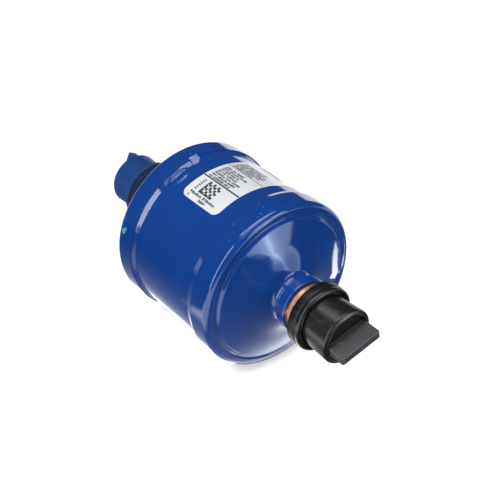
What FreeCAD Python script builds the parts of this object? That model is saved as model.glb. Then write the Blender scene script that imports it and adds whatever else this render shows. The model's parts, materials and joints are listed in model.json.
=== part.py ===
import FreeCAD, Part

import math
import os

from FreeCAD import Vector

# Suction line filter with copper sweat sockets, closed by two plastic dust caps.
# All sizes are in millimetres. The flow axis is X: gas enters at -X and leaves at +X.
# The profiles are drawn as (x, radius) about the middle of the body and turned about X.
# At the end every piece is moved along X, so that the origin is the inlet socket's mouth.

# Shell: a steel tube with a pressed steel head pushed over each end and welded at its skirt
tube_radius = 38.1
tube_wall = 1.4
tube_length = 61.3
head_wall = 1.4
head_fit = 0.05
skirt_overlap = 8.65
weld_leg_along = 2.3
weld_leg_up = 1.2
weld_toe = 0.12
weld_hollow = 0.4

# Head: rounded rim, flat ring, coined groove, shallow dish that flares into a drawn neck
rim_bend = 2.7
flat_ring_width = 1.15
groove_width = 2.5
groove_depth = 0.6
groove_edge_round = 0.6
groove_floor_round = 0.8
dish_edge_rise = 1.0
dish_edge_round = 0.7
dish_slope_deg = 12.8
flare_start_radius = 20.0
flare_slope_deg = 22.5
flare_round = 40.0
neck_wall = 1.1
neck_length = 3.1
neck_root_round = 2.35
neck_inner_round = 1.2

# Copper stubs: a socket for 5/8 inch tube, and a stop collar outside the neck
stub_radius = 9.525
socket_radius = 8.0
socket_depth = 14.0
stub_bore_radius = 7.2
stub_reach = 0.6274
collar_radius = 11.95
collar_length = 4.3
collar_round = 1.1
shoulder_radius = 10.7
shoulder_length = 3.7
shoulder_round = 0.5
stub_free_length = 20.7
stub_inside = 4.5
braze_gap = 0.05
braze_waist = 0.95
braze_edge = 0.05

# Dust caps: a soft plastic cup over the stub, with a finger blade on its end
cap_fit = 0.1
cap_wall = 2.65
cap_draft = 0.15
cap_inside_depth = 16.9
cap_end_wall = 2.2
cap_floor_round = 0.6
cap_mouth_round = 0.35
cap_band_radius = 14.2
cap_band_length = 3.4
cap_groove_radius = 13.3
cap_groove_length = 0.5
cap_ring_radius = 14.0
cap_ring_length = 1.6
cap_ring_round = 0.3
cap_barrel_round = 0.4
cap_rim_height = 0.25
cap_rim_round = 0.6
cap_rim_width = 1.3
cap_rim_flank = 0.3
cap_lead_in = 0.5
outlet_cap_overlap = 10.73
inlet_cap_overlap = 6.7
blade_side_gap = 0.3
blade_height = 9.0
blade_root_thickness = 4.1
blade_tip_thickness = 3.4
blade_corner_round = 0.9
outlet_blade_deg = 12.3
inlet_blade_deg = 63.0

# Label: a printed foil wrapped over the top of the tube
label_width = 23.9
label_offset = 0.7
label_thickness = 0.1
label_start_deg = -12.0
label_end_deg = 119.3
label_corner = 3.4

# Filter element: pleated paper round a slotted core, potted into two pressed end discs
plate_thickness = 0.8
plate_gap = 0.05
plate_edge_clearance = 0.5
gasket_thickness = 2.0
gasket_outer_radius = 21.0
media_outer_radius = 30.4
media_inner_radius = 14.6
media_thickness = 0.6
pleat_count = 36
fold_radius = 0.75
core_wall = 0.7
core_clearance = 0.2
core_rows = 5
slots_around = 8
slot_length = 5.6
slot_width = 3.6
disc_thickness = 0.7
disc_skirt_length = 4.0
disc_clearance = 0.15
disc_round = 1.0
spigot_wall = 0.8
spigot_length = 6.0
spigot_clearance = 0.15
spigot_round = 0.7

# Inlet end of the element: a baffle plate, and a spring that holds the element on its seat
spring_space = 7.6
spring_wire = 1.4
spring_radius = 8.6
spring_turns = 2.5
spring_clearance = 0.05
spring_boss_clearance = 0.5
boss_height = 1.2
boss_round = 0.6
baffle_holes = 8
baffle_hole_radius = 4.6
baffle_hole_circle = 24.0

# Places along the axis, measured from the middle of the body
tube_end = tube_length / 2
plate_outer_face = tube_end + plate_thickness
head_inner_face = plate_outer_face + plate_gap
head_face = head_inner_face + head_wall
skirt_edge = tube_end - skirt_overlap
dish_edge = head_face + dish_edge_rise
skirt_inner_radius = tube_radius + head_fit
head_radius = skirt_inner_radius + head_wall
plate_radius = tube_radius - plate_edge_clearance
neck_inner_radius = stub_radius + braze_gap
neck_radius = neck_inner_radius + neck_wall
groove_outer_radius = head_radius - rim_bend - flat_ring_width
dish_edge_radius = groove_outer_radius - groove_width
dish_slope = math.tan(math.radians(dish_slope_deg))
flare_slope = math.tan(math.radians(flare_slope_deg))
dish_wall_along = head_wall / math.cos(math.radians(dish_slope_deg))
flare_start = dish_edge + (dish_edge_radius - flare_start_radius) * dish_slope
neck_root = flare_start + (flare_start_radius - neck_radius) * flare_slope
neck_end = neck_root + neck_length
collar_start = neck_end + stub_reach
shoulder_start = collar_start + collar_length
tube_start = shoulder_start + shoulder_length
stub_end = collar_start + stub_free_length

# Places of the filter element, which is pushed against the seat plate at the outlet
gasket_face = tube_end - gasket_thickness
open_disc_inner = gasket_face - disc_thickness
closed_disc_outer = spring_space - tube_end
closed_disc_inner = closed_disc_outer + disc_thickness
core_outer_radius = media_inner_radius - core_clearance
core_inner_radius = core_outer_radius - core_wall
spigot_outer_radius = core_inner_radius - spigot_clearance
spigot_inner_radius = spigot_outer_radius - spigot_wall
disc_skirt_inner = media_outer_radius + disc_clearance
disc_radius = disc_skirt_inner + disc_thickness
boss_radius = spring_radius - spring_wire / 2 - spring_boss_clearance

x_axis = Vector(1, 0, 0)
centre = Vector(0, 0, 0)

# The two round corners of a profile's side take no more of it than this share
most_of_side = 0.98


def corner_reach(before, corner, after, radius):
    """How far a round corner reaches along its two sides."""
    half_angle = (before - corner).getAngle(after - corner) / 2
    return radius / math.tan(half_angle)


def corner_arc(before, corner, after, reach):
    """The first tangent point, the middle point and the last tangent point of a round corner."""
    to_before = before - corner
    to_after = after - corner
    half_angle = to_before.getAngle(to_after) / 2
    radius = reach * math.tan(half_angle)
    to_before.normalize()
    to_after.normalize()
    middle_way = to_before + to_after
    middle_way.normalize()
    middle = corner + middle_way * (radius / math.sin(half_angle) - radius)
    return corner + to_before * reach, middle, corner + to_after * reach


def profile_face(points, side=1):
    """A face in the XY plane from (x, radius, corner round) points; side -1 gives its mirror image."""
    corners = [Vector(side * p[0], p[1], 0) for p in points]
    rounds = [p[2] if len(p) > 2 else 0 for p in points]
    nexts = corners[1:] + corners[:1]
    count = len(corners)
    wanted = []
    for i, corner in enumerate(corners):
        wanted.append(corner_reach(corners[i - 1], corner, nexts[i], rounds[i]) if rounds[i] > 0 else 0)
    shares = []
    for i, corner in enumerate(corners):
        both = wanted[i] + wanted[(i + 1) % count]
        room = most_of_side * corner.distanceToPoint(nexts[i])
        shares.append(min(1, room / both) if both > 0 else 1)
    starts = []
    ends = []
    edges = []
    for i, corner in enumerate(corners):
        if rounds[i] > 0:
            reach = wanted[i] * min(shares[i - 1], shares[i])
            first, middle, last = corner_arc(corners[i - 1], corner, nexts[i], reach)
            edges.append(Part.Arc(first, middle, last).toShape())
        else:
            first = last = corner
        starts.append(first)
        ends.append(last)
    for i in range(count):
        here = ends[i]
        there = starts[(i + 1) % count]
        if here.distanceToPoint(there) > 1e-6:
            edges.append(Part.LineSegment(here, there).toShape())
    return Part.Face(Part.Wire(Part.__sortEdges__(edges)))


def turned(points, side=1):
    """A solid of revolution about the flow axis."""
    return profile_face(points, side).revolve(centre, x_axis, 360)


def ring(x_low, x_high, inner, outer, side=1):
    """A plain ring about the flow axis."""
    return turned([(x_low, inner), (x_high, inner), (x_high, outer), (x_low, outer)], side)


def shell_tube():
    return ring(-tube_end, tube_end, tube_radius - tube_wall, tube_radius)


def head(side):
    """One pressed end of the shell, with its skirt over the tube and its neck round the stub."""
    inner_dish_edge = dish_edge - dish_wall_along
    inner_flare_start = flare_start - dish_wall_along
    inner_neck_root = inner_flare_start + (flare_start_radius - neck_inner_radius) * flare_slope
    groove_middle = groove_outer_radius - groove_width / 2
    outer = [
        (skirt_edge, skirt_inner_radius),
        (skirt_edge, head_radius),
        (head_face, head_radius, rim_bend),
        (head_face, groove_outer_radius, groove_edge_round),
        (head_face - groove_depth, groove_middle, groove_floor_round),
        (dish_edge, dish_edge_radius, dish_edge_round),
        (flare_start, flare_start_radius, flare_round),
        (neck_root, neck_radius, neck_root_round),
        (neck_end, neck_radius),
    ]
    inner = [
        (neck_end, neck_inner_radius),
        (inner_neck_root, neck_inner_radius, neck_inner_round),
        (inner_flare_start, flare_start_radius, flare_round + head_wall),
        (inner_dish_edge, dish_edge_radius),
        (head_inner_face, groove_middle),
        (head_inner_face, skirt_inner_radius),
    ]
    return turned(outer + inner, side)


def hollow_fillet(side, start, end, hollow, foot_radius):
    """A ring of weld or braze between two (x, radius) points, its face sunk below the straight line."""
    low = Vector(side * start[0], start[1], 0)
    high = Vector(side * end[0], end[1], 0)
    across = high - low
    inward = Vector(across.y, -across.x, 0) * side
    inward.normalize()
    middle = (low + high) * 0.5 + inward * hollow
    foot_low = Vector(low.x, foot_radius, 0)
    foot_high = Vector(high.x, foot_radius, 0)
    outline = [
        Part.Arc(low, middle, high).toShape(),
        Part.LineSegment(high, foot_high).toShape(),
        Part.LineSegment(foot_high, foot_low).toShape(),
        Part.LineSegment(foot_low, low).toShape(),
    ]
    return Part.Face(Part.Wire(outline)).revolve(centre, x_axis, 360)


def head_weld(side):
    """The fillet weld between the skirt's edge and the tube."""
    start = (skirt_edge - weld_leg_along, tube_radius + weld_toe)
    end = (skirt_edge, tube_radius + weld_leg_up)
    return hollow_fillet(side, start, end, weld_hollow, tube_radius)


def stub(side):
    """A copper stub: bore, socket with its stop shoulder, collar and shoulder ring."""
    inner_end = neck_root - stub_inside
    socket_floor = stub_end - socket_depth
    outer = [
        (inner_end, stub_radius),
        (collar_start, stub_radius),
        (collar_start, collar_radius, collar_round),
        (shoulder_start, collar_radius, collar_round),
        (shoulder_start, shoulder_radius),
        (tube_start, shoulder_radius, shoulder_round),
        (tube_start, stub_radius),
        (stub_end, stub_radius),
    ]
    inner = [
        (stub_end, socket_radius),
        (socket_floor, socket_radius),
        (socket_floor, stub_bore_radius),
        (inner_end, stub_bore_radius),
    ]
    return turned(outer + inner, side)


def braze(side):
    """The braze fillet that joins the neck's end to the stub, up to the collar."""
    start = (neck_end, neck_radius - braze_edge)
    end = (collar_start, collar_radius - collar_round - braze_edge)
    hollow = (start[1] + end[1]) / 2 - stub_radius - braze_waist
    return hollow_fillet(side, start, end, hollow, stub_radius)


def dust_cap(side, overlap, blade_deg):
    """A cup over the stub, with a grip band, a ring, a tapered barrel and a finger blade."""
    mouth = stub_end - overlap
    bore = stub_radius + cap_fit
    barrel = bore + cap_wall
    barrel_end = barrel - cap_draft
    floor = mouth + cap_inside_depth
    face = floor + cap_end_wall
    rim = face + cap_rim_height
    band_end = mouth + cap_band_length
    ring_start = band_end + cap_groove_length
    ring_end = ring_start + cap_ring_length
    rim_inner = barrel_end - cap_rim_width
    face_radius = rim_inner - cap_rim_flank
    outer = [
        (mouth, cap_band_radius, cap_mouth_round),
        (band_end, cap_band_radius, cap_mouth_round),
        (band_end, cap_groove_radius),
        (ring_start, cap_groove_radius),
        (ring_start, cap_ring_radius, cap_ring_round),
        (ring_end, cap_ring_radius, cap_ring_round),
        (ring_end, barrel, cap_barrel_round),
        (rim, barrel_end, cap_rim_round),
        (rim, rim_inner),
        (face, face_radius),
        (face, 0),
    ]
    inner = [
        (floor, 0),
        (floor, bore, cap_floor_round),
        (mouth + cap_lead_in, bore),
        (mouth, bore + cap_lead_in),
    ]
    cup = turned(outer + inner, side)
    blade = finger_blade(side, face, face_radius - blade_side_gap, blade_deg)
    return cup.fuse(blade).removeSplitter()


def finger_blade(side, face, half, blade_deg):
    """A flat tapered blade across the cap's end, thinner at its tip, with round corners."""
    root = blade_root_thickness / 2
    tip = blade_tip_thickness / 2
    below = face - cap_end_wall / 2
    section = [
        Vector(side * below, -half, -root),
        Vector(side * face, -half, -root),
        Vector(side * (face + blade_height), -half, -tip),
        Vector(side * (face + blade_height), -half, tip),
        Vector(side * face, -half, root),
        Vector(side * below, -half, root),
    ]
    blank = Part.Face(Part.makePolygon(section + section[:1])).extrude(Vector(0, 2 * half, 0))
    outline = [
        (face - cap_end_wall, -half),
        (face + blade_height, -half, blade_corner_round),
        (face + blade_height, half, blade_corner_round),
        (face - cap_end_wall, half),
    ]
    rounded = profile_face(outline, side)
    rounded.translate(Vector(0, 0, -2 * root))
    blade = blank.common(rounded.extrude(Vector(0, 0, 4 * root)))
    blade.rotate(centre, x_axis, blade_deg)
    return blade


def label():
    """The foil over the top of the tube, with round corners."""
    low = label_offset - label_width / 2
    high = label_offset + label_width / 2
    outer = tube_radius + label_thickness
    outline = [(low, tube_radius), (high, tube_radius), (high, outer), (low, outer)]
    strip = profile_face(outline)
    strip.rotate(centre, x_axis, label_start_deg)
    sheet = strip.revolve(centre, x_axis, label_end_deg - label_start_deg)
    corner_deg = math.degrees(math.asin(label_corner / outer))
    waste = []
    for edge, way in ((low, -1), (high, 1)):
        waste.append(corner_waste(edge, way, label_start_deg + corner_deg, -1))
        waste.append(corner_waste(edge, way, label_end_deg - corner_deg, 1))
    return sheet.cut(waste)


def corner_waste(edge, way, angle_deg, turn):
    """What the label's round corner leaves out, as a small prism along the tube's radius."""
    size = 2 * label_corner
    middle = edge - way * label_corner
    square = Part.makeBox(size, size, size, Vector(0, 0, tube_radius - label_corner))
    pin = Part.makeCylinder(label_corner, size, Vector(0, 0, tube_radius - label_corner))
    waste = square.cut(pin)
    if way < 0:
        waste = waste.mirror(centre, x_axis)
    if turn > 0:
        waste = waste.mirror(centre, Vector(0, 1, 0))
    waste.translate(Vector(middle, 0, 0))
    waste.rotate(centre, x_axis, angle_deg - 90)
    return waste


def pleat_loop(offset):
    """One side of the pleated sheet: fold arcs joined by straight flanks, offset from its middle line."""
    outer_arm = media_outer_radius - fold_radius - media_thickness / 2
    inner_arm = media_inner_radius + fold_radius + media_thickness / 2
    folds = []
    for i in range(2 * pleat_count):
        angle = math.pi * i / pleat_count
        outward = Vector(0, math.cos(angle), math.sin(angle))
        is_outer = i % 2 == 0
        arm = outer_arm if is_outer else inner_arm
        radius = fold_radius + (offset if is_outer else -offset)
        folds.append((outward * arm, outward, radius, is_outer))
    flanks = []
    for i, (here, outward, radius, is_outer) in enumerate(folds):
        there, _, next_radius, _ = folds[(i + 1) % len(folds)]
        across = there - here
        lean = math.asin((radius + next_radius) / across.Length)
        if not is_outer:
            lean = -lean
        heading = math.atan2(across.z, across.y) + lean
        left = Vector(0, -math.sin(heading), math.cos(heading))
        turn = -1 if is_outer else 1
        flanks.append((here + left * (turn * radius), there - left * (turn * next_radius)))
    edges = []
    for i, (middle, outward, radius, is_outer) in enumerate(folds):
        arrives = flanks[i - 1][1]
        leaves = flanks[i][0]
        crest = middle + outward * (radius if is_outer else -radius)
        edges.append(Part.Arc(arrives, crest, leaves).toShape())
        edges.append(Part.LineSegment(leaves, flanks[i][1]).toShape())
    return Part.Wire(edges)


def filter_media():
    """The pleated sheet, closed on itself round the core and extruded between the end discs."""
    sheet = Part.Face([pleat_loop(media_thickness / 2), pleat_loop(-media_thickness / 2)])
    sheet.translate(Vector(closed_disc_inner, 0, 0))
    return sheet.extrude(Vector(open_disc_inner - closed_disc_inner, 0, 0))


def core_tube():
    """The steel core, slotted all round so that gas can pass into it."""
    core = ring(closed_disc_inner, open_disc_inner, core_inner_radius, core_outer_radius)
    pitch = (open_disc_inner - closed_disc_inner) / core_rows
    cutters = []
    for row in range(core_rows):
        middle = closed_disc_inner + (row + 0.5) * pitch
        for step in range(slots_around // 2):
            corner = Vector(middle - slot_length / 2, -slot_width / 2, -2 * core_outer_radius)
            slot = Part.makeBox(slot_length, slot_width, 4 * core_outer_radius, corner)
            slot.rotate(centre, x_axis, 360.0 * (step + 0.5 * (row % 2)) / slots_around)
            cutters.append(slot)
    return core.cut(cutters)


def end_disc(inner_face, way, closed):
    """A pressed cup that holds one end of the pleats; way points out of the element."""
    outer_face = inner_face + way * disc_thickness
    skirt_end = inner_face - way * disc_skirt_length
    hole = 0 if closed else core_inner_radius
    outline = [
        (inner_face, hole),
        (outer_face, hole),
        (outer_face, disc_radius, disc_round),
        (skirt_end, disc_radius),
        (skirt_end, disc_skirt_inner),
        (inner_face, disc_skirt_inner),
    ]
    disc = turned(outline)
    if closed:
        tip = outer_face + way * boss_height
        rise = [(outer_face, 0), (tip, 0), (tip, boss_radius, boss_round), (outer_face, boss_radius)]
        disc = disc.fuse(turned(rise)).removeSplitter()
    return disc


def seat_plate():
    """The outlet plate, clamped between tube and head, with a spigot for the core."""
    spigot_end = tube_end - spigot_length
    outline = [
        (plate_outer_face, spigot_inner_radius, spigot_round),
        (plate_outer_face, plate_radius),
        (tube_end, plate_radius),
        (tube_end, spigot_outer_radius),
        (spigot_end, spigot_outer_radius),
        (spigot_end, spigot_inner_radius),
    ]
    return turned(outline)


def seat_gasket():
    """The soft ring between the element's open end and the seat plate."""
    return ring(gasket_face, tube_end, core_inner_radius, gasket_outer_radius)


def inlet_baffle():
    """The plate that spreads the gas towards the outside of the element."""
    plate = ring(tube_end, plate_outer_face, 0, plate_radius, -1)
    holes = []
    for i in range(baffle_holes):
        at = Vector(-plate_outer_face, baffle_hole_circle, 0)
        hole = Part.makeCylinder(baffle_hole_radius, plate_thickness, at, x_axis)
        hole.rotate(centre, x_axis, 360.0 * i / baffle_holes)
        holes.append(hole)
    return plate.cut(holes)


def element_spring():
    """A short coil spring of square wire between the baffle and the closed end disc."""
    rise = spring_space - spring_wire - 2 * spring_clearance
    path = Part.Wire(Part.makeHelix(rise / spring_turns, rise, spring_radius).Edges)
    half = spring_wire / 2
    section = [
        Vector(spring_radius - half, 0, -half),
        Vector(spring_radius + half, 0, -half),
        Vector(spring_radius + half, 0, half),
        Vector(spring_radius - half, 0, half),
    ]
    spring = path.makePipeShell([Part.makePolygon(section + section[:1])], True, True)
    spring.rotate(centre, Vector(0, 1, 0), 90)
    spring.translate(Vector(-tube_end + spring_clearance + spring_wire / 2, 0, 0))
    return spring


pieces = {
    "shell_tube": shell_tube(),
    "inlet_head": head(-1),
    "outlet_head": head(1),
    "inlet_head_weld": head_weld(-1),
    "outlet_head_weld": head_weld(1),
    "inlet_stub": stub(-1),
    "outlet_stub": stub(1),
    "inlet_braze": braze(-1),
    "outlet_braze": braze(1),
    "label": label(),
    "inlet_dust_cap": dust_cap(-1, inlet_cap_overlap, inlet_blade_deg),
    "outlet_dust_cap": dust_cap(1, outlet_cap_overlap, outlet_blade_deg),
    "filter_media": filter_media(),
    "core_tube": core_tube(),
    "open_end_disc": end_disc(open_disc_inner, 1, False),
    "closed_end_disc": end_disc(closed_disc_inner, -1, True),
    "seat_plate": seat_plate(),
    "seat_gasket": seat_gasket(),
    "inlet_baffle": inlet_baffle(),
    "element_spring": element_spring(),
}

os.makedirs("parts", exist_ok=True)
for name, shape in pieces.items():
    shape.translate(Vector(stub_end, 0, 0))
    shape.exportStep("parts/" + name + ".step")
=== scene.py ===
import json
import math
import random

import bmesh
import bpy
from mathutils import Matrix, Vector, noise


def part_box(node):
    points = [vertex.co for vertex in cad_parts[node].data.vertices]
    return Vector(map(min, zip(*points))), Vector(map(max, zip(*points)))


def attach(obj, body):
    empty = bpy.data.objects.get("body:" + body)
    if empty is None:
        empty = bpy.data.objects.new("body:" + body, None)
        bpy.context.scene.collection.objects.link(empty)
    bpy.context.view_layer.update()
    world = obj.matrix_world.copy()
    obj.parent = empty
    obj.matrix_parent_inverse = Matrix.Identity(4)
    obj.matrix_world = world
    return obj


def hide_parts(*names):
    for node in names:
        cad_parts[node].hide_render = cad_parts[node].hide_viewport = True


# Suction line filter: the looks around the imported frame.
# Shapes are drawn in millimetres about the flow axis X, as (x, radius) profiles or polar() points,
# and new_piece() turns them into metres. Angles run from +Y towards +Z. The stage is in metres.
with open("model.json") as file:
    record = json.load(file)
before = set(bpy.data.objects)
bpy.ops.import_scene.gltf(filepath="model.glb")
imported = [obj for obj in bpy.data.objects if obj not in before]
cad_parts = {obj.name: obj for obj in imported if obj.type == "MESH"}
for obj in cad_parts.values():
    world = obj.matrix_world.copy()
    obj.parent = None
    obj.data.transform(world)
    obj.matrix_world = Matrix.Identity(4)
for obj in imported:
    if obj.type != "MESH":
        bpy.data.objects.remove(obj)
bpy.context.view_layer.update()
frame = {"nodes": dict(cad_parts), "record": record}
MM = 0.001

# Places of the frame, in millimetres
tube_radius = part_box("shell_tube")[1].z / MM
head_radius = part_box("inlet_head")[1].z / MM
label_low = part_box("label")[0].x / MM
label_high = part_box("label")[1].x / MM
label_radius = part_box("label")[1].z / MM
inlet_skirt_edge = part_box("inlet_head")[1].x / MM
outlet_skirt_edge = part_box("outlet_head")[0].x / MM
weld_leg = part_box("inlet_head_weld")[1].x / MM - inlet_skirt_edge
outlet_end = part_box("outlet_stub")[1].x / MM
inlet_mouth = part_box("inlet_dust_cap")[1].x / MM
outlet_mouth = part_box("outlet_dust_cap")[0].x / MM


# Node helpers

def add(tree, kind, inputs=None, **settings):
    """A shader node with its settings, its inputs set to values or linked to sockets."""
    made = tree.nodes.new("ShaderNode" + kind)
    for key, value in settings.items():
        setattr(made, key, value)
    for key, value in (inputs or {}).items():
        if isinstance(value, bpy.types.NodeSocket):
            tree.links.new(value, made.inputs[key])
        else:
            made.inputs[key].default_value = value
    return made


def maths(tree, operation, first, second=0.0):
    """The result of a Math node."""
    return add(tree, "Math", {0: first, 1: second}, operation=operation).outputs["Value"]


def new_material(name, colour, roughness, **sockets):
    """A Principled material; sockets are given with _ for a blank."""
    material = bpy.data.materials.new(name)
    material.use_nodes = True
    shader = material.node_tree.nodes["Principled BSDF"]
    shader.inputs["Base Color"].default_value = (*colour, 1)
    shader.inputs["Roughness"].default_value = roughness
    for key, value in sockets.items():
        shader.inputs[key.replace("_", " ")].default_value = value
    return material, material.node_tree, shader


def millimetres(tree, stretch=(1, 1, 1)):
    """Object coordinates in millimetres, stretched along each axis."""
    place = add(tree, "TexCoord").outputs["Object"]
    scale = tuple(s / MM for s in stretch)
    return add(tree, "Mapping", {"Vector": place, "Scale": scale}).outputs["Vector"]


def noise_of(tree, place, scale, detail=2.0):
    return add(tree, "TexNoise", {"Vector": place, "Scale": scale, "Detail": detail}).outputs["Fac"]


def between(tree, value, low, high, to_low=0.0, to_high=1.0):
    """value from low..high mapped to to_low..to_high and clamped."""
    inputs = {"Value": value, "From Min": low, "From Max": high, "To Min": to_low, "To Max": to_high}
    return add(tree, "MapRange", inputs).outputs["Result"]


def mixed(tree, share, first, second):
    """Two colours mixed by share."""
    made = add(tree, "Mix", data_type="RGBA")
    for socket, value in ((made.inputs[0], share), (made.inputs[6], first), (made.inputs[7], second)):
        if isinstance(value, bpy.types.NodeSocket):
            tree.links.new(value, socket)
        elif isinstance(value, tuple):
            socket.default_value = (*value, 1)
        else:
            socket.default_value = value
    return made.outputs[2]


def coloured(tree, shader, colour):
    tree.links.new(colour, shader.inputs["Base Color"])


def bumped(tree, shader, layers):
    """Bump from (height socket, depth in millimetres) layers."""
    normal = None
    for height, depth in layers:
        bump = add(tree, "Bump", {"Height": height, "Distance": depth * MM, "Strength": 1.0})
        if normal is not None:
            tree.links.new(normal, bump.inputs["Normal"])
        normal = bump.outputs["Normal"]
    tree.links.new(normal, shader.inputs["Normal"])


# Materials

PAINT_BLUE = (0.0060, 0.0465, 0.235)
PAINT_DEEP = (0.0052, 0.0415, 0.215)
PAINT_ROUGHNESS = 0.08
# The paint's orange peel and ripple: noise scale and depth
PAINT_WAVES = [(0.4, 0.003), (0.08, 0.012)]
DUST_GREY = (0.30, 0.36, 0.50)
# Pale lavender for painted glints on weld spatter by the inlet lump
SPATTER_GLINT = (0.62, 0.68, 0.85)
TEAL = (0.09, 0.30, 0.42)
CHIP = (0.004, 0.006, 0.03)
# Marks on the shell, a few of them painted glints: x, angle, radius, size and colour
SHELL_SPOTS = [
    (36.2, 162.5, 39.4, 1.3, TEAL),
    (37.1, 160.5, 39.4, 0.9, TEAL),
    (71.1, 185, 38.1, 0.3, CHIP),
    # Painted glints on weld spatter beside the inlet lump
    (40.2, 94.6, 39.5, 0.28, SPATTER_GLINT),
    (41.1, 96.9, 39.6, 0.2, SPATTER_GLINT),
    (39.3, 94.0, 39.5, 0.16, SPATTER_GLINT),
    (95.5, 112, 38.8, 0.28, DUST_GREY),
    (93.6, 101, 39.5, 0.22, DUST_GREY),
    (94.2, 104, 39.5, 0.15, DUST_GREY),
]
# A mark fades between these shares of its size
SPOT_EDGE = (0.8, 1.1)
# Dust in the paint of the outlet head's rim: how many specks, and their x, angle and size ranges
SPECK_COUNT = 16
SPECK_X = (86, 97)
SPECK_DEG = (92, 138)
SPECK_SIZE = (0.07, 0.17)
# Dust all over the paint: cells per millimetre, the share of cells without, largest size and height
FLECK_SCALE = 0.14
FLECK_NONE = 0.6
FLECK_SIZE = 0.03
FLECK_HEIGHT = 0.01


def rim_specks():
    draw = random.Random(4)
    specks = []
    for _ in range(SPECK_COUNT):
        x = draw.uniform(*SPECK_X)
        degrees = draw.uniform(*SPECK_DEG)
        specks.append((x, degrees, head_radius, draw.uniform(*SPECK_SIZE), DUST_GREY))
    return specks


def spotted(tree, place, colour, spots):
    """The colour with round marks at (x, angle, radius) places, each of its own size and colour."""
    for x, degrees, radius, size, mark in spots:
        centre = polar(x, radius, math.radians(degrees))
        away = add(tree, "VectorMath", {0: place, 1: centre}, operation="DISTANCE").outputs["Value"]
        low, high = (size * share for share in SPOT_EDGE)
        colour = mixed(tree, between(tree, away, low, high, 1.0, 0.0), colour, mark)
    return colour


def paint_material(spots):
    """Glossy blue enamel: orange peel, slight unevenness, a few flecks and marks, and painted glints."""
    material, tree, shader = new_material("blue_enamel", PAINT_BLUE, PAINT_ROUGHNESS, IOR=1.5)
    place = millimetres(tree)
    drift = between(tree, noise_of(tree, place, scale=0.05), low=0.35, high=0.65)
    colour = mixed(tree, drift, PAINT_BLUE, PAINT_DEEP)
    cells = add(tree, "TexVoronoi", {"Vector": place, "Scale": FLECK_SCALE})
    pick = add(tree, "SeparateColor", {"Color": cells.outputs["Color"]}).outputs["Red"]
    size = between(tree, pick, FLECK_NONE, 1.0, 0.0, FLECK_SIZE)
    fleck = maths(tree, "LESS_THAN", cells.outputs["Distance"], size)
    colour = mixed(tree, fleck, colour, DUST_GREY)
    coloured(tree, shader, spotted(tree, place, colour, spots))
    waves = [(noise_of(tree, place, scale), depth) for scale, depth in PAINT_WAVES]
    bumped(tree, shader, waves + [(fleck, FLECK_HEIGHT)])
    return material


def copper_material():
    """Drawn copper, tarnished in patches."""
    material, tree, shader = new_material("bare_copper", (0.90, 0.52, 0.34), 0.45, Metallic=1.0)
    tarnish = between(tree, noise_of(tree, millimetres(tree), scale=0.35, detail=4), low=0.35, high=0.7)
    coloured(tree, shader, mixed(tree, tarnish, (0.95, 0.60, 0.42), (0.78, 0.36, 0.20)))
    drawn = noise_of(tree, millimetres(tree, (0.15, 3, 3)), scale=1.2, detail=3)
    rough = between(tree, drawn, low=0.2, high=0.8, to_low=0.38, to_high=0.52)
    tree.links.new(rough, shader.inputs["Roughness"])
    bumped(tree, shader, [(drawn, 0.01)])
    return material


def foil_material():
    """Satin label foil, a little cloudy and not quite flat."""
    coat = {"Coat_Weight": 0.3, "Coat_Roughness": 0.2}
    material, tree, shader = new_material("label_foil", (0.68, 0.71, 0.74), 0.3, **coat)
    place = millimetres(tree)
    cloud = between(tree, noise_of(tree, place, scale=0.12, detail=3), low=0.3, high=0.7)
    coloured(tree, shader, mixed(tree, cloud, (0.645, 0.675, 0.70), (0.60, 0.635, 0.67)))
    bumped(tree, shader, [(noise_of(tree, place, scale=0.3), 0.012)])
    return material


def ink_material():
    """Black ink, thin in places."""
    material, tree, shader = new_material("label_ink", (0.02, 0.02, 0.022), 0.45)
    thin = between(tree, noise_of(tree, millimetres(tree), scale=2.0, detail=3), low=0.4, high=0.8)
    coloured(tree, shader, mixed(tree, thin, (0.016, 0.016, 0.018), (0.08, 0.08, 0.085)))
    return material


def plastic_material(name, base, light, roughness, depth, sheen=0.5):
    """Moulded polyethylene, with a soft grain and faint lighter scuffs; sheen is its specular level."""
    material, tree, shader = new_material(name, base, roughness, Specular_IOR_Level=sheen)
    place = millimetres(tree)
    grain = noise_of(tree, place, scale=2.2, detail=4)
    scuff = noise_of(tree, millimetres(tree, (0.25, 1, 1)), scale=0.9, detail=5)
    coloured(tree, shader, mixed(tree, between(tree, scuff, low=0.56, high=0.78), base, light))
    rough = between(tree, scuff, low=0.3, high=0.7, to_low=roughness, to_high=roughness + 0.12)
    tree.links.new(rough, shader.inputs["Roughness"])
    bumped(tree, shader, [(grain, depth), (noise_of(tree, place, scale=0.25), 0.03)])
    return material


def grained_material(name, colour, roughness, grain, colours, depth, **sockets):
    """A material whose colour and bump follow one grain of (stretch, scale, detail)."""
    material, tree, shader = new_material(name, colour, roughness, **sockets)
    stretch, scale, detail = grain
    fibre = noise_of(tree, millimetres(tree, stretch), scale, detail)
    coloured(tree, shader, mixed(tree, fibre, *colours))
    bumped(tree, shader, [(fibre, depth)])
    return material


# Mesh helpers

# Corners that turn by more degrees than this stay sharp
SMOOTH_ANGLE = 40
# The most of an edge that the round of one of its corners may take
CORNER_SHARE = 0.49


def polar(x, radius, angle):
    return (x, radius * math.cos(angle), radius * math.sin(angle))


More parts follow.
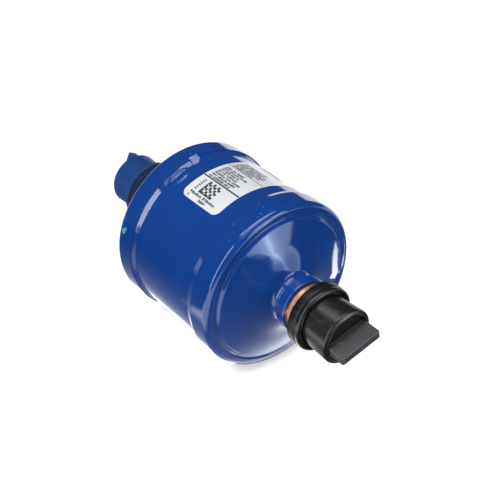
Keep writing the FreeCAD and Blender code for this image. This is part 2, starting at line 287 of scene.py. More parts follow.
def new_piece(name, points, faces, materials, body, replaced=None, face_materials=None):
    """A smooth mesh from points in millimetres, sharp where its faces turn by more than SMOOTH_ANGLE."""
    mesh = bpy.data.meshes.new(name)
    mesh.from_pydata([tuple(c * MM for c in p) for p in points], [], faces)
    for material in materials:
        mesh.materials.append(material)
    if face_materials:
        mesh.polygons.foreach_set("material_index", face_materials)
    mesh.polygons.foreach_set("use_smooth", [True] * len(mesh.polygons))
    shell = bmesh.new()
    shell.from_mesh(mesh)
    bmesh.ops.recalc_face_normals(shell, faces=shell.faces)
    shell.to_mesh(mesh)
    shell.free()
    mesh.set_sharp_from_angle(angle=math.radians(SMOOTH_ANGLE))
    piece = bpy.data.objects.new(name, mesh)
    bpy.context.scene.collection.objects.link(piece)
    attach(piece, body)
    if replaced:
        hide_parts(replaced)
    return piece


def rounded(points, steps=5):
    """A polyline from (x, radius, round) points, its round corners drawn as short arcs."""
    line = []
    for i, point in enumerate(points):
        corner = Vector(point[:2])
        size = point[2] if len(point) > 2 else 0
        if size == 0 or i in (0, len(points) - 1):
            line.append(tuple(corner))
            continue
        back = Vector(points[i - 1][:2]) - corner
        ahead = Vector(points[i + 1][:2]) - corner
        half = back.angle(ahead) / 2
        reach = min(size / math.tan(half), CORNER_SHARE * back.length, CORNER_SHARE * ahead.length)
        size = reach * math.tan(half)
        back.normalize()
        ahead.normalize()
        middle = corner + (back + ahead).normalized() * (size / math.sin(half))
        start = corner + back * reach - middle
        end = corner + ahead * reach - middle
        for step in range(steps + 1):
            line.append(tuple(middle + start.slerp(end, step / steps)))
    return line


def ring_faces(rings, turns, closed):
    """Quads between rings of turns points; closed joins the last ring to the first."""
    faces = []
    for i in range(rings if closed else rings - 1):
        here = i * turns
        there = (i + 1) % rings * turns
        for j in range(turns):
            k = (j + 1) % turns
            faces.append((here + j, here + k, there + k, there + j))
    return faces


def lathe(line, turns):
    """Points and faces of a closed (x, radius) line turned about the flow axis."""
    points = [polar(x, r, math.tau * j / turns) for x, r in line for j in range(turns)]
    return points, ring_faces(len(line), turns, True)


def degrees_off(degrees, at):
    """The signed turn from one angle to another, within half a turn."""
    return (degrees - at + 180) % 360 - 180


# Head welds

WELD_TURNS = 720
WELD_STEPS = 18
# How far a weld laps onto the skirt, how proud it is there, and how far it runs on underneath
WELD_LAP = 1.1
WELD_SKIN = 0.012
WELD_TUCK = 0.3
# How far its toe and its tucked end sit below the surfaces, and how deep its underside is
WELD_SINK = 0.02
WELD_DEPTH = 0.3
# The share of the weld's face that bends at its toe, and the same at its top
WELD_BEND = 0.18
# How much its toe and lap wander, as shares, and the height of its ripple
TOE_WANDER = 0.06
LAP_WANDER = 0.2
WELD_RIPPLE = 0.05
WELD_WAVES = 3
# Where a weld runs wide: angle, spread in degrees and share of the leg added, and the same for its lap
INLET_WIDE = [(128, 12, 0.13), (156, 20, 0.22)]
INLET_LAP = [(156, 14, 0.38)]
OUTLET_WIDE = [(180, 60, 0.15)]
OUTLET_LAP = [(90, 360, 0.5)]


def swell(degrees, places):
    """The sum of bell-shaped shares at the (angle, spread, share) places."""
    return sum(share * math.exp(-(degrees_off(degrees, at) / spread) ** 2) for at, spread, share in places)


def eased(share):
    """0 to 1 along a straight line that bends smoothly at both ends."""
    slope = 1 / (1 - WELD_BEND)
    if share < WELD_BEND:
        return slope * share ** 2 / (2 * WELD_BEND)
    if share > 1 - WELD_BEND:
        return 1 - slope * (1 - share) ** 2 / (2 * WELD_BEND)
    return slope * (share - WELD_BEND / 2)


def weld_outline(degrees, around, leg, wide, wide_lap):
    """The weld's (distance from the skirt's edge, radius) outline: up its face, and back underneath."""
    toe = leg * (1 + TOE_WANDER * noise.noise(around) + swell(degrees, wide))
    wander = noise.noise(around + Vector((7, 0, 0)))
    lap = WELD_LAP * (1 + LAP_WANDER * wander + swell(degrees, wide_lap))
    line = []
    for i in range(WELD_STEPS + 1):
        share = i / WELD_STEPS
        rise = (head_radius + WELD_SKIN - tube_radius) * eased(share) - WELD_SINK * (1 - share)
        wave = noise.noise(around * 2.5 + Vector((share, 3, 0)))
        rise += WELD_RIPPLE * wave * 4 * share * (1 - share)
        line.append((toe - (toe + lap) * share, tube_radius + rise))
    tuck = -(lap + WELD_TUCK)
    line += [(tuck, head_radius - WELD_SINK), (tuck, head_radius - WELD_DEPTH)]
    line.append((toe, tube_radius - WELD_DEPTH))
    return line


def weld_piece(name, skirt_edge, way, seed, leg, wide, wide_lap):
    """A painted fillet weld bead that laps over the skirt's edge, its toe wandering a little."""
    points = []
    for j in range(WELD_TURNS):
        angle = math.tau * j / WELD_TURNS
        around = Vector((math.cos(angle) * WELD_WAVES, math.sin(angle) * WELD_WAVES, seed))
        line = weld_outline(math.degrees(angle), around, leg, wide, wide_lap)
        points += [polar(skirt_edge + way * x, r, angle) for x, r in line]
    faces = ring_faces(WELD_TURNS, len(line), True)
    return new_piece(name, points, faces, [enamel], "filter", name.replace("bead", "weld"))


# Lumps of weld metal on the inlet head

LUMP_RINGS = 28
LUMP_TURNS = 96
# A lump's ridge: where it stands between middle and rim, its spread, and the hollow's share of its height
RIDGE_AT = 0.76
RIDGE_SPREAD = 0.17
HOLLOW_SHARE = 0.25
# How uneven its rim and its top are, as shares; how steeply its rim falls; how deep it sits and reaches
LUMP_WANDER = 0.16
LUMP_RIPPLE = 0.12
RIM_POWER = 6
LUMP_SINK = 0.03
LUMP_DEPTH = 0.2


def lump_rise(share, across, height, lean):
    """A lump's height: a ridge round a hollow, or a flake that leans up along the flow axis."""
    if lean:
        return height * (0.5 - 0.5 * across)
    ridge = math.exp(-((share - RIDGE_AT) / RIDGE_SPREAD) ** 2)
    return height * (ridge + HOLLOW_SHARE)


def lump_piece(name, x, degrees, half_x, half_deg, height, lean, seed):
    """A low painted run of weld metal at the inlet head's skirt."""
    top = []
    under = []
    for i in range(LUMP_RINGS + 1):
        share = i / LUMP_RINGS
        rim = 1 - share ** RIM_POWER
        under.append([])
        for j in range(LUMP_TURNS):
            turn = math.tau * j / LUMP_TURNS
            wander = noise.noise(Vector((math.cos(turn), math.sin(turn), seed)) * 1.6)
            out = share * (1 + LUMP_WANDER * wander)
            at = x + half_x * out * math.cos(turn)
            angle = math.radians(degrees + half_deg * out * math.sin(turn))
            step = min(max((at - inlet_skirt_edge + WELD_LAP) / (weld_leg + WELD_LAP), 0), 1)
            ground = head_radius + (tube_radius - head_radius) * step - LUMP_SINK
            wave = noise.noise(Vector((at * 0.5, math.degrees(angle) * 0.25, seed)))
            rise = (lump_rise(share, out * math.cos(turn), height, lean) + LUMP_RIPPLE * height * wave) * rim
            top.append(polar(at, ground + rise, angle))
            under[-1].append(polar(at, ground - LUMP_DEPTH, angle))
    points = top + [point for ring in reversed(under) for point in ring]
    faces = ring_faces(2 * (LUMP_RINGS + 1), LUMP_TURNS, False)
    return new_piece(name, points, faces, [enamel], "filter")


# Dust caps: the cup's profile is measured from its mouth, and the blade stands on its end

CAP_TURNS = 144
CAP_PROFILE = [
    (0, 10.125), (0, 14.2, 0.35), (3.4, 14.2, 0.35), (3.4, 13.3, 0.12), (3.9, 13.3, 0.12), (3.9, 14.0, 0.3),
    (5.5, 14.0, 0.3), (5.5, 12.275, 0.4), (19.35, 12.125, 0.6), (19.35, 10.825, 0.08), (19.1, 10.525, 0.08),
    (19.1, 3.0), (19.1, 0.02), (16.9, 0.02), (16.9, 9.625, 0.6), (0.5, 9.625),
]
CAP_FACE = 19.1
BAND_END = 3.65
BLADE_HEIGHT = 9.0
BLADE_HALF = 10.2
BLADE_ROOT = 2.05
BLADE_TIP = 1.7
BLADE_CORNER = 0.9
BLADE_EDGE = 0.2
BLADE_FOOT = 0.25
# The heights of the blade's loops below its rounded top, and the steps of the two rounds in degrees
BLADE_LEVELS = [-0.8, 0.0, 0.06, 0.14, BLADE_FOOT, 2.0, 4.0, 6.0]
CORNER_DEGREES = range(0, 66, 13)
EDGE_DEGREES = range(0, 91, 18)
EDGE_STEPS = 4
# The places of a cap's materials
BARREL, BAND, BLADE, EDGE = range(4)


def rounding(size, into):
    """How far a round of this size has drawn in at a depth into it."""
    into = min(max(into, 0), size)
    return size - math.sqrt(size ** 2 - into ** 2)


def blade_sections():
    """(height, half width, half thickness) of the finger blade, from inside the end wall to its tip."""
    heights = list(BLADE_LEVELS)
    for size, steps in ((BLADE_CORNER, CORNER_DEGREES), (BLADE_EDGE, EDGE_DEGREES)):
        heights += [BLADE_HEIGHT - size * (1 - math.sin(math.radians(a))) for a in steps]
    sections = []
    for height in heights:
        half = BLADE_ROOT + (BLADE_TIP - BLADE_ROOT) * max(height, 0) / BLADE_HEIGHT
        half += rounding(BLADE_FOOT, BLADE_FOOT - height)
        half -= rounding(BLADE_EDGE, height - (BLADE_HEIGHT - BLADE_EDGE))
        width = BLADE_HALF - rounding(BLADE_CORNER, height - (BLADE_HEIGHT - BLADE_CORNER))
        sections.append((height, width, half))
    return sections


def blade_loop(width, half):
    """A rectangle with round corners, as (across, thick) points."""
    loop = []
    for quarter in range(4):
        way_w = 1 if quarter in (0, 3) else -1
        way_t = 1 if quarter in (0, 1) else -1
        for step in range(EDGE_STEPS + 1):
            angle = math.pi / 2 * (quarter + step / EDGE_STEPS)
            loop.append((way_w * (width - BLADE_EDGE) + BLADE_EDGE * math.cos(angle),
                         way_t * (half - BLADE_EDGE) + BLADE_EDGE * math.sin(angle)))
    return loop


def blade_mesh(mouth, way, blade_deg):
    """Points, faces and material places of the finger blade."""
    turn = math.radians(blade_deg)
    sections = blade_sections()
    points = []
    for height, width, half in sections:
        for across, thick in blade_loop(width, half):
            y = across * math.cos(turn) - thick * math.sin(turn)
            z = across * math.sin(turn) + thick * math.cos(turn)
            points.append((mouth + way * (CAP_FACE + height), y, z))
    count = len(points) // len(sections)
    faces = ring_faces(len(sections), count, False)
    kinds = []
    for i in range(len(faces)):
        height = sections[i // count][0]
        on_edge = i % count % (EDGE_STEPS + 1) < EDGE_STEPS
        on_tip = height >= BLADE_HEIGHT - BLADE_EDGE
        # Edge faces take the cap's edge material, on the outlet cap lighter for rubbed wear and a painted
        # highlight
        kinds.append(EDGE if height > 0 and (on_edge or on_tip) else BLADE)
    faces.append(tuple(range(len(points) - count, len(points))))
    faces.append(tuple(range(count - 1, -1, -1)))
    return points, faces, kinds + [BLADE, BLADE]


def cap_piece(name, mouth, way, blade_deg, materials, body):
    """A moulded cup with its grip band, ring and finger blade; way is +1 towards the outlet."""
    points, faces = lathe([(mouth + way * x, r) for x, r in rounded(CAP_PROFILE)], CAP_TURNS)
    kinds = []
    for face in faces:
        middle = sum(points[i][0] for i in face) / 4
        kinds.append(BAND if abs(middle - mouth) < BAND_END else BARREL)
    blade_points, blade_faces, blade_kinds = blade_mesh(mouth, way, blade_deg)
    faces += [tuple(len(points) + i for i in face) for face in blade_faces]
    return new_piece(name, points + blade_points, faces, materials, body,
                     name.replace("shell", "dust_cap"), kinds + blade_kinds)


# Paint on the copper stubs: it follows the collar and ends in a ragged line

STUB_OUTLINE = [(0, 10.7), (0, 11.95, 1.1), (4.3, 11.95, 1.1), (4.3, 10.7, 0.1), (8.0, 10.7, 0.5),
                (8.0, 9.525, 0.1), (20.7, 9.525)]
COLLAR_FROM_END = 20.7
PAINT_THICKNESS = 0.06
PAINT_SINK = 0.1
# The coat's two ends dip below the copper by this share of its thickness
PAINT_DIP = 0.5
SLEEVE_TURNS = 360
SLEEVE_STEPS = 70
SLEEVE_WAVES = 4


def along(line, distance):
    """The (x, radius) point at a distance along a line, and the line's outward normal there."""
    for (x0, r0), (x1, r1) in zip(line, line[1:]):
        step = math.hypot(x1 - x0, r1 - r0)
        if step < 1e-9:
            continue
        if distance <= step:
            share = distance / step
            return x0 + (x1 - x0) * share, r0 + (r1 - r0) * share, -(r1 - r0) / step, (x1 - x0) / step
        distance -= step
    return x1, r1, 0.0, 1.0


def sleeve_piece(name, way, reach, ragged, nick, seed):
    """A thin coat over one stub, from the braze to a ragged edge; nick is (angle, spread, depth)."""
    line = rounded(STUB_OUTLINE)
    collar = outlet_end - COLLAR_FROM_END if way > 0 else COLLAR_FROM_END
    points = []
    for j in range(SLEEVE_TURNS):
        angle = math.tau * j / SLEEVE_TURNS
        around = Vector((math.cos(angle) * SLEEVE_WAVES, math.sin(angle) * SLEEVE_WAVES, seed))
        length = reach + ragged * (noise.noise(around) + 0.5 * noise.noise(around * 4))
        length -= swell(math.degrees(angle), [nick]) if nick else 0
        outer = []
        inner = []
        for i in range(SLEEVE_STEPS + 1):
            x, r, nx, nr = along(line, length * i / SLEEVE_STEPS)
            coat = PAINT_THICKNESS * (1 if 0 < i < SLEEVE_STEPS else -PAINT_DIP)
            outer.append(polar(collar + way * (x + nx * coat), r + nr * coat, angle))
            inner.append(polar(collar + way * (x - nx * PAINT_SINK), r - nr * PAINT_SINK, angle))
        points += outer + inner[::-1]
    faces = ring_faces(SLEEVE_TURNS, 2 * (SLEEVE_STEPS + 1), True)
    return new_piece(name, points, faces, [enamel], "filter")


# Label print: plain bars, ticks and a regular block pattern, with no letters

INK_HEIGHT = 0.02
INK_SINK = 0.01
INK_STEP_DEG = 1.5
PRINT_MARGIN = 0.25
# Ticks stand in groups; widths and gaps are shares of a tick's width
GROUP_TICKS = (3, 8)
TICK_WIDTHS = (0.85, 1.25)
TICK_GAP = 0.35
GROUP_GAP = 0.9
# A row ends where less than this is left of it
ROW_REST = 0.3
# How often a tick starts higher or ends lower, and by what share of the row
SHORT_OFTEN = 0.2
SHORT_BY = 0.25
# Bars across the label: their two angles
CROSS_BARS = [(98.6, 99.8), (79.4, 79.9), (60.0, 60.4), (18.0, 18.8)]
# Other bars: x and angle from and to
SMALL_BARS = [(57.2, 70.0, 51.0, 55.5)] + [(57.2, 58.6, 102.2 + 1.7 * i, 103.1 + 1.7 * i) for i in range(6)]
# Blocks of tick rows: count, x from, least and most x to, first angle, pitch, height and tick width
TICK_BLOCKS = [
    (1, 57.0, 74.6, 74.6, 113.3, 0, 2.0, 0.85),
    (1, 64.6, 69.6, 69.6, 116.2, 0, 1.9, 0.75),
    (1, 57.2, 58.4, 58.4, 116.4, 0, 1.5, 0.6),
    (7, 56.0, 68, 76, 96.4, 2.35, 1.8, 0.6),
    (6, 56.0, 69, 76, 77.1, 2.35, 1.75, 0.55),
    (7, 57.2, 66, 75.5, 45.0, 3.4, 1.4, 0.42),
    (4, 57.2, 62, 74.5, 12.0, 4.0, 1.6, 0.42),
]
# The block pattern: cells a side, and x and angle from and to
CODE_SIZE = 12
CODE_PLACE = (60.5, 68.9, 101.2, 112.4)


def ink_block(points, faces, x0, x1, deg0, deg1):
    """One printed field as a thin closed block that follows the tube."""
    steps = max(1, math.ceil(abs(deg1 - deg0) / INK_STEP_DEG))
    low = label_radius - INK_SINK
    high = label_radius + INK_HEIGHT
    first = len(points)
    for i in range(steps + 1):
        angle = math.radians(deg0 + (deg1 - deg0) * i / steps)
        for x, radius in ((x0, low), (x1, low), (x1, high), (x0, high)):
            points.append(polar(x, radius, angle))
    for i in range(steps):
        here = first + 4 * i
        for k in range(4):
            n = (k + 1) % 4
            faces.append((here + k, here + n, here + 4 + n, here + 4 + k))
    faces.append((first + 3, first + 2, first + 1, first))
    last = first + 4 * steps
    faces.append((last, last + 1, last + 2, last + 3))


def tick_row(points, faces, draw, x0, x1, deg, height_deg, wide):
    """A row of unreadable ticks in word-like groups, along the flow axis."""
    x = x0
    while x < x1 - ROW_REST:
        for _ in range(draw.randint(*GROUP_TICKS)):
            width = wide * draw.uniform(*TICK_WIDTHS)
            if x + width > x1:
                break
            kind = draw.random()
            low = deg + (height_deg * SHORT_BY if kind < SHORT_OFTEN else 0)
            high = deg + height_deg * (1 - SHORT_BY if kind > 1 - SHORT_OFTEN else 1)
            ink_block(points, faces, x, x + width, low, high)
            x += width + wide * TICK_GAP
        x += wide * GROUP_GAP


def code_filled(i, j):
    """Whether a cell of the plain block pattern is printed: two solid sides and an even check."""
    return i == 0 or j == 0 or (i // 2 + j // 2) % 2 == 1 or (i % 4 == 1 and j % 4 == 1)


def code_block(points, faces, x0, x1, deg0, deg1):
    """A plain regular block pattern."""
    wide = (x1 - x0) / CODE_SIZE
    high = (deg1 - deg0) / CODE_SIZE
    for i in range(CODE_SIZE):
        for j in range(CODE_SIZE):
            if code_filled(i, j):
                x = x0 + wide * i
                deg = deg1 - high * (j + 1)
                ink_block(points, faces, x, x + wide, deg, deg + high)


def print_piece():
    """All the print on the label, as one piece."""
    points = []
    faces = []
    draw = random.Random(11)
    for deg0, deg1 in CROSS_BARS:
        ink_block(points, faces, label_low + PRINT_MARGIN, label_high - PRINT_MARGIN, deg0, deg1)
    for place in SMALL_BARS:
        ink_block(points, faces, *place)
    code_block(points, faces, *CODE_PLACE)
    for count, x0, least, most, deg, pitch, height_deg, wide in TICK_BLOCKS:
        for i in range(count):
            x1 = draw.uniform(least, most) if most > least else least
            tick_row(points, faces, draw, x0, x1, deg - pitch * i, height_deg, wide)
    return new_piece("label_print", points, faces, [ink], "filter")


# Camera and lamps

CAMERA_PLACE = (0.3596, -0.2269, 0.2742)
CAMERA_FORWARD = (-0.6278, 0.5047, -0.5925)
CAMERA_LENS = 74.88
CAMERA_SENSOR = 36
CAMERA_NEAR = 0.01
LAMP_DISTANCE = 0.9
# Lamps: name, azimuth, elevation, width, height, radiance and spin
LAMPS = [
    ("key", -27, 73, 0.47, 0.58, 1.6, 41),
    ("top", 130, 85, 0.38, 0.73, 5.5, 104),
    ("front", 22, 13, 0.42, 0.36, 5.5, 0),
    ("left", -88, 29, 0.22, 0.92, 8.5, 0),
    ("rear_left", -152, 58, 0.12, 0.10, 9, 0),
]
# A lamp that reflections don't show
FILL_LAMP = ("fill", 10, 25, 0.6, 0.6, 0.9, 0)


def make_camera():
    data = bpy.data.cameras.new("camera")
    data.lens = CAMERA_LENS
    data.sensor_width = CAMERA_SENSOR
    data.clip_start = CAMERA_NEAR
    camera = bpy.data.objects.new("camera", data)
    camera.location = CAMERA_PLACE
    camera.rotation_euler = Vector(CAMERA_FORWARD).to_track_quat("-Z", "Y").to_euler()
    bpy.context.scene.collection.objects.link(camera)
    bpy.context.scene.camera = camera


def direction(azimuth, elevation):
    a = math.radians(azimuth)
    e = math.radians(elevation)
    return Vector((math.cos(a) * math.cos(e), math.sin(a) * math.cos(e), math.sin(e)))


def softbox(name, azimuth, elevation, width, height, radiance, spin):
    """An area lamp that faces the filter's middle; azimuth runs from +X towards +Y, spin about its axis."""
    data = bpy.data.lights.new(name, "AREA")
    data.shape = "RECTANGLE"
    data.size = width
    data.size_y = height
    data.energy = radiance * math.pi * width * height
    lamp = bpy.data.objects.new(name, data)
    middle = Vector((outlet_end / 2 * MM, 0, 0))
    towards = direction(azimuth, elevation)
    lamp.location = middle + towards * LAMP_DISTANCE
    turn = (-towards).to_track_quat("-Z", "Y").to_matrix() @ Matrix.Rotation(math.radians(spin), 3, "Z")
    lamp.rotation_euler = turn.to_euler()
    lamp.visible_camera = False
    bpy.context.scene.collection.objects.link(lamp)
    return lamp


def make_lights():
    for lamp in LAMPS:
        softbox(*lamp)
    softbox(*FILL_LAMP).visible_glossy = False


# World and floor

ROOM_LIGHT = (0.15, 0.15, 0.155)
ROOM_DARK = (0.05, 0.05, 0.055)
# The floor stands this far below the heads
FLOOR_GAP = 0.03 * MM
floor_height = -head_radius * MM - FLOOR_GAP
FLOOR_HALF_SIZE = 3.0
# The floor's diffuse colour to other surfaces, and to the camera, which also sees it glow
FLOOR_BOUNCE = (0.8, 0.8, 0.8, 1)
FLOOR_PALE = (0.25, 0.25, 0.25, 1)
# The contact shadow: its reach, the openness that it runs between, and the glow at those two
SHADOW_REACH = 0.007
SHADOW_RANGE = (0.35, 0.75, 0.55, 0.90)
# The footprint that the floor's reflected brightness is measured from
FOOT_MIDDLE = 0.062
FOOT_HALF_LENGTH = 0.036
FOOT_HALF_WIDTH = 0.020
# Reflected brightness close to the footprint and farther out: peak and reach
NEAR_GLOW = (15.0, 0.0034)
WIDE_GLOW = (1.0, 0.035)
# The near glow starts between these distances from the footprint
NEAR_START = (0.0010, 0.0045)
# The bright field on the left: y from and to, with its brightness there, and where along x it starts
LEFT_FIELD = (-0.080, -0.060, 2.6, 0.0)
LEFT_START = (0.032, 0.045)
# The bright field behind: its direction, how far out it starts, and its brightness along y
BEHIND = (-0.72, 0.69, 0)
BEHIND_START = (0.0, 0.08)
BEHIND_FIELD = (0.05, 0.30, 1.0, 1.6)


def make_world():
    """White to the camera, and a dark room in reflections."""
    world = bpy.data.worlds.new("studio")
    bpy.context.scene.world = world
    world.use_nodes = True
    tree = world.node_tree
    background = tree.nodes["Background"]
    path = add(tree, "LightPath")
    room = mixed(tree, path.outputs["Is Glossy Ray"], ROOM_LIGHT, ROOM_DARK)
    shown = mixed(tree, path.outputs["Is Camera Ray"], room, (1.0, 1.0, 1.0))
    tree.links.new(shown, background.inputs["Color"])


def falling(tree, value, height, reach):
    """height at value 0, fading by a factor of e over each reach."""
    share = maths(tree, "DIVIDE", value, -reach)
    return maths(tree, "MULTIPLY", maths(tree, "EXPONENT", share), height)


def off_footprint(tree, spot):
    """The distance of a spot on the floor from the footprint."""
    across = maths(tree, "SUBTRACT", spot.outputs["X"], FOOT_MIDDLE)
    gaps = []
    for value, half in ((across, FOOT_HALF_LENGTH), (spot.outputs["Y"], FOOT_HALF_WIDTH)):
        beyond = maths(tree, "SUBTRACT", maths(tree, "ABSOLUTE", value), half)
        gaps.append(maths(tree, "MAXIMUM", beyond))
    corner = add(tree, "CombineXYZ", {"X": gaps[0], "Y": gaps[1]}).outputs["Vector"]
    return add(tree, "VectorMath", {0: corner}, operation="LENGTH").outputs["Value"]


def floor_brightness(tree, place):
    """How bright reflections show the floor: most close to the filter, on the left and behind."""
    spot = add(tree, "SeparateXYZ", {"Vector": place})
    away = off_footprint(tree, spot)
    near = maths(tree, "MULTIPLY", falling(tree, away, *NEAR_GLOW), between(tree, away, *NEAR_START))
    glow = maths(tree, "ADD", near, falling(tree, away, *WIDE_GLOW))
    left = maths(tree, "MULTIPLY", between(tree, spot.outputs["Y"], *LEFT_FIELD),
                 between(tree, spot.outputs["X"], *LEFT_START))
    behind = add(tree, "VectorMath", {0: place, 1: BEHIND}, operation="DOT_PRODUCT").outputs["Value"]
    back = maths(tree, "MULTIPLY", between(tree, behind, *BEHIND_START),
                 between(tree, spot.outputs["Y"], *BEHIND_FIELD))
    return maths(tree, "MAXIMUM", maths(tree, "MAXIMUM", glow, back), left)


def stage_sheet(name, corners, location):
    """A flat sheet of the stage with an empty node material, and that material's tree."""
    mesh = bpy.data.meshes.new(name)
    mesh.from_pydata(corners, [], [tuple(range(len(corners)))])
    sheet = bpy.data.objects.new(name, mesh)
    sheet.location = location
    bpy.context.scene.collection.objects.link(sheet)
    material = bpy.data.materials.new(name)
    material.use_nodes = True
    material.node_tree.nodes.clear()
    mesh.materials.append(material)
    return sheet, material.node_tree


def glowing(tree, strength, colour=(1, 1, 1)):
    return add(tree, "Emission", {"Color": (*colour, 1), "Strength": strength}).outputs[0]


def either(tree, share, first, second):
    """Two shaders mixed by share."""
    return add(tree, "MixShader", {0: share, 1: first, 2: second}).outputs[0]


def make_floor():
    """A pale floor: white to the camera with a soft shadow."""
    size = FLOOR_HALF_SIZE
    corners = [(-size, -size, 0), (size, -size, 0), (size, size, 0), (-size, size, 0)]
    floor, tree = stage_sheet("floor", corners, (0, 0, floor_height))
    path = add(tree, "LightPath")
    place = add(tree, "TexCoord").outputs["Object"]
    bounced = add(tree, "BsdfDiffuse", {"Color": FLOOR_BOUNCE}).outputs[0]
    mirrored = glowing(tree, floor_brightness(tree, place))
    openness = add(tree, "AmbientOcclusion", {"Distance": SHADOW_REACH}).outputs["AO"]
    pale = add(tree, "BsdfDiffuse", {"Color": FLOOR_PALE}).outputs[0]
    glow = glowing(tree, between(tree, openness, *SHADOW_RANGE))
    seen = add(tree, "AddShader", {0: pale, 1: glow}).outputs[0]
    unseen = either(tree, path.outputs["Is Glossy Ray"], bounced, mirrored)
    add(tree, "OutputMaterial", {"Surface": either(tree, path.outputs["Is Camera Ray"], unseen, seen)})


# Cards that only reflections show

# The card in front of the outlet: its x, its (y, height) corners, its brightness and colour
CARD_X = 0.285
CARD_CORNERS = [(0.044, 0.0), (0.134, 0.0), (0.150, 0.010), (0.196, 0.025), (0.200, 0.060), (-0.004, 0.060),
                (-0.001, 0.024)]
CARD_LEVEL = 3.8
CARD_COLOUR = (0.72, 0.85, 1.0)
# Its two bright bands: their middle along y, and the width and height of each
CARD_MIDDLE = 0.082
CARD_BANDS = [(0.020, 4.0), (0.005, 6.0)]
# Its brightness fades between these heights, from the first share to the second
CARD_FADE = (0.010, 0.058, 1.0, 0.35)
# A narrow card low beside the outlet head, which the cone's right edge reflects
STRIP_HEIGHT = -0.010
STRIP_CORNERS = [(0.1024, 0.0349, 0), (0.1015, 0.0300, 0), (0.0996, 0.0315, 0), (0.1001, 0.0360, 0),
                 (0.1084, 0.0531, 0), (0.1163, 0.0637, 0)]
STRIP_LEVEL = 7.0


def bell(tree, value, middle, width, height):
    """A bell-shaped curve of value about middle."""
    share = maths(tree, "DIVIDE", maths(tree, "SUBTRACT", value, middle), width)
    sinking = maths(tree, "MULTIPLY", maths(tree, "MULTIPLY", share, share), -1.0)
    return maths(tree, "MULTIPLY", maths(tree, "EXPONENT", sinking), height)


def front_strength(tree, place):
    """How bright the front card is: level, with two bands, fading upwards."""
    strength = CARD_LEVEL
    for width, height in CARD_BANDS:
        strength = maths(tree, "ADD", strength, bell(tree, place.outputs["Y"], CARD_MIDDLE, width, height))
    return maths(tree, "MULTIPLY", strength, between(tree, place.outputs["Z"], *CARD_FADE))


def make_card(name, corners, location, colour, strength):
    """A glowing card; strength is a number, or a function of the tree and the place on the card."""
    card, tree = stage_sheet(name, corners, location)
    path = add(tree, "LightPath")
    place = add(tree, "SeparateXYZ", {"Vector": add(tree, "TexCoord").outputs["Object"]})
    light = glowing(tree, strength(tree, place) if callable(strength) else strength, colour)
    clear = add(tree, "BsdfTransparent").outputs[0]
    add(tree, "OutputMaterial", {"Surface": either(tree, path.outputs["Is Glossy Ray"], clear, light)})
    card.visible_shadow = False


# The materials: plastics give base and scuffed colour, roughness, grain depth and sheen

enamel = paint_material(SHELL_SPOTS + rim_specks())
copper = copper_material()
foil = foil_material()
ink = ink_material()
black_plastic = plastic_material("black_plastic", (0.007, 0.007, 0.0075), (0.018, 0.018, 0.019), 0.25, 0.004)
band_plastic = plastic_material("band_plastic", (0.004, 0.004, 0.0045), (0.011, 0.011, 0.012), 0.34, 0.006,
                                0.32)
# The inlet cap's grip band: dark navy, partly the thin overspray it got, partly painted shade where it sits
# in the head's shadow
navy_overspray_and_shade_plastic = plastic_material("navy_overspray_and_shade_plastic", (0.010, 0.020, 0.050), (0.012, 0.024, 0.060), 0.50, 0.004,
                                0.12)
blue_plastic = plastic_material("blue_plastic", (0.0085, 0.047, 0.195), (0.0100, 0.052, 0.205), 0.42, 0.004,
                                0.22)
blade_plastic = plastic_material("blade_plastic", (0.030, 0.032, 0.036), (0.075, 0.078, 0.082), 0.5, 0.03)
# The blade's rounded edges are lighter: partly rubbed wear, partly a painted highlight where the edges catch
# the light
edge_wear_and_highlight_plastic = plastic_material("edge_wear_and_highlight_plastic", (0.085, 0.088, 0.092), (0.15, 0.15, 0.16), 0.5, 0.02)
paper = grained_material("filter_paper", (0.76, 0.68, 0.50), 0.9, ((1, 3, 1), 1.5, 6),
                         ((0.70, 0.61, 0.43), (0.80, 0.73, 0.56)), 0.05)
steel = grained_material("plain_steel", (0.55, 0.55, 0.56), 0.35, ((0.2, 2, 2), 1.0, 4),
                         ((0.50, 0.50, 0.51), (0.62, 0.62, 0.63)), 0.01, Metallic=1.0)
rubber = grained_material("gasket_rubber", (0.03, 0.03, 0.03), 0.75, ((1, 1, 1), 0.8, 4),
                          ((0.022, 0.022, 0.022), (0.05, 0.05, 0.05)), 0.03)

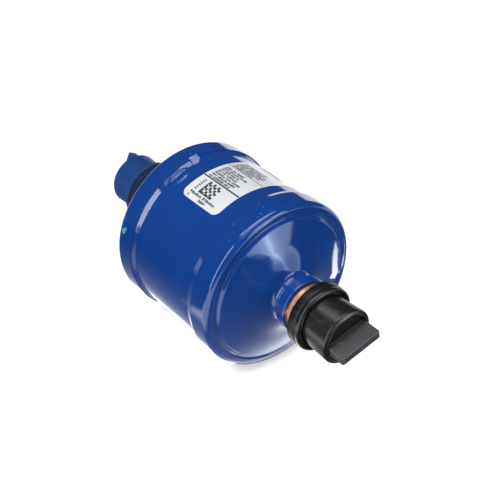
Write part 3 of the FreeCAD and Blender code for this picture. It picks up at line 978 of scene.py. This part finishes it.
NODE_MATERIALS = {
    "shell_paint": enamel,
    "painted_cap": blue_plastic,
    "copper": copper,
    "label_foil": foil,
    "black_cap": black_plastic,
    "filter_paper": paper,
    "plain_steel": steel,
    "gasket_rubber": rubber,
}


def dress_nodes():
    """Each CAD node gets the material of its slot in the record."""
    for row in frame["record"]["subparts"]:
        mesh = frame["nodes"][row["node"]].data
        mesh.materials.clear()
        mesh.materials.append(NODE_MATERIALS[row["material_slot"]])


dress_nodes()
weld_piece("inlet_head_bead", inlet_skirt_edge, way=1, seed=3.0, leg=2.3, wide=INLET_WIDE,
           wide_lap=INLET_LAP)
weld_piece("outlet_head_bead", outlet_skirt_edge, way=-1, seed=8.0, leg=4.0, wide=OUTLET_WIDE,
           wide_lap=OUTLET_LAP)
lump_piece("inlet_lump_low", x=46.3, degrees=112.0, half_x=3.2, half_deg=9.0, height=0.34, lean=False,
           seed=4.0)
lump_piece("inlet_lump_high", x=43.2, degrees=94.5, half_x=3.0, half_deg=4.6, height=0.95, lean=True,
           seed=9.0)
# The inlet cap's band is darkened partly by overspray and partly by painted shade
cap_piece("inlet_shell", inlet_mouth, way=-1, blade_deg=63.0, body="inlet_cap",
          materials=[blue_plastic, navy_overspray_and_shade_plastic, blue_plastic, blue_plastic])
cap_piece("outlet_shell", outlet_mouth, way=1, blade_deg=12.3, body="outlet_cap",
          materials=[black_plastic, band_plastic, blade_plastic, edge_wear_and_highlight_plastic])
sleeve_piece("outlet_paint", way=1, reach=7.3, ragged=0.25, nick=(170, 6, 1.2), seed=2.0)
sleeve_piece("inlet_paint", way=-1, reach=16.5, ragged=0.1, nick=None, seed=5.0)
print_piece()

make_camera()
make_world()
make_lights()
make_floor()
make_card("front_card", [(0, y, z) for y, z in CARD_CORNERS], (CARD_X, 0, floor_height), CARD_COLOUR,
          front_strength)
make_card("right_strip", STRIP_CORNERS, (0, 0, STRIP_HEIGHT), (1, 1, 1), STRIP_LEVEL)
bpy.context.scene.view_settings.view_transform = "Standard"
